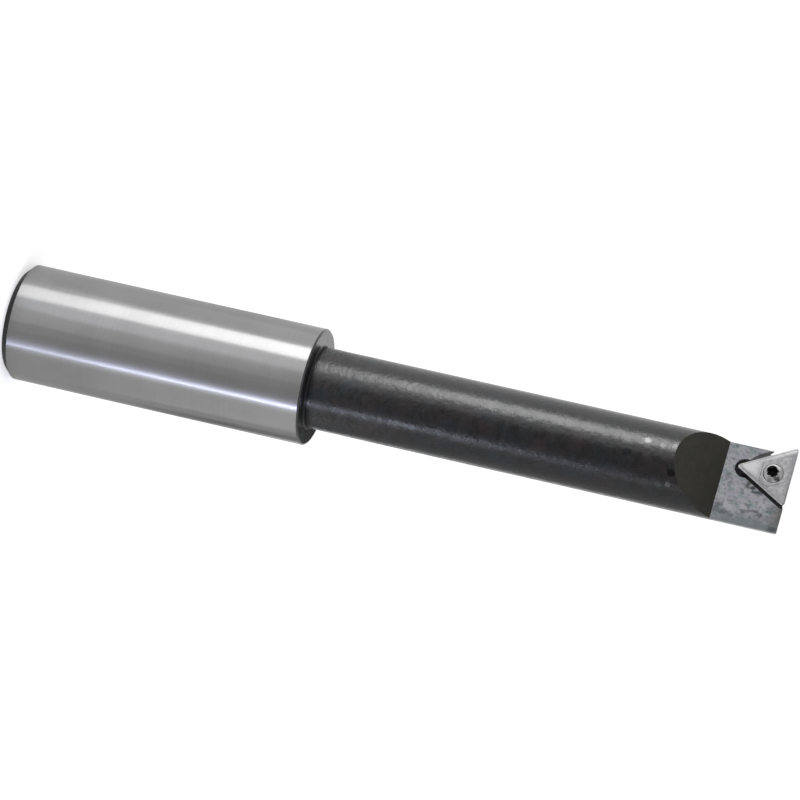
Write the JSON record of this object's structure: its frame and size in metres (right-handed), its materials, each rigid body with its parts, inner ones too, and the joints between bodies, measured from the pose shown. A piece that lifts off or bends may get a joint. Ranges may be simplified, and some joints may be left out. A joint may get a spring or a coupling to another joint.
{
  "type": "boring bar",
  "caption": "Steel boring bar: plain round shank, slimmer round neck and a milled head that holds a triangular cutting insert with a small countersunk screw.",
  "frame": {"origin": "centre of the shank's rear end face, on the bar's axis", "axes": "+Z along the bar's axis from the shank towards the insert, -Y the side that the insert's top faces, -X towards the cutting corner"},
  "size_m": [0.019, 0.019, 0.1283],
  "materials": {
    "bar_steel": "ground shank, blackened neck and bare milled head",
    "insert_carbide": "satin sintered",
    "screw_steel": "satin"
  },
  "bodies": {
    "root": {"bar_body": "bar_steel", "insert": "insert_carbide", "insert_screw": "screw_steel"}
  },
  "joints": []
}
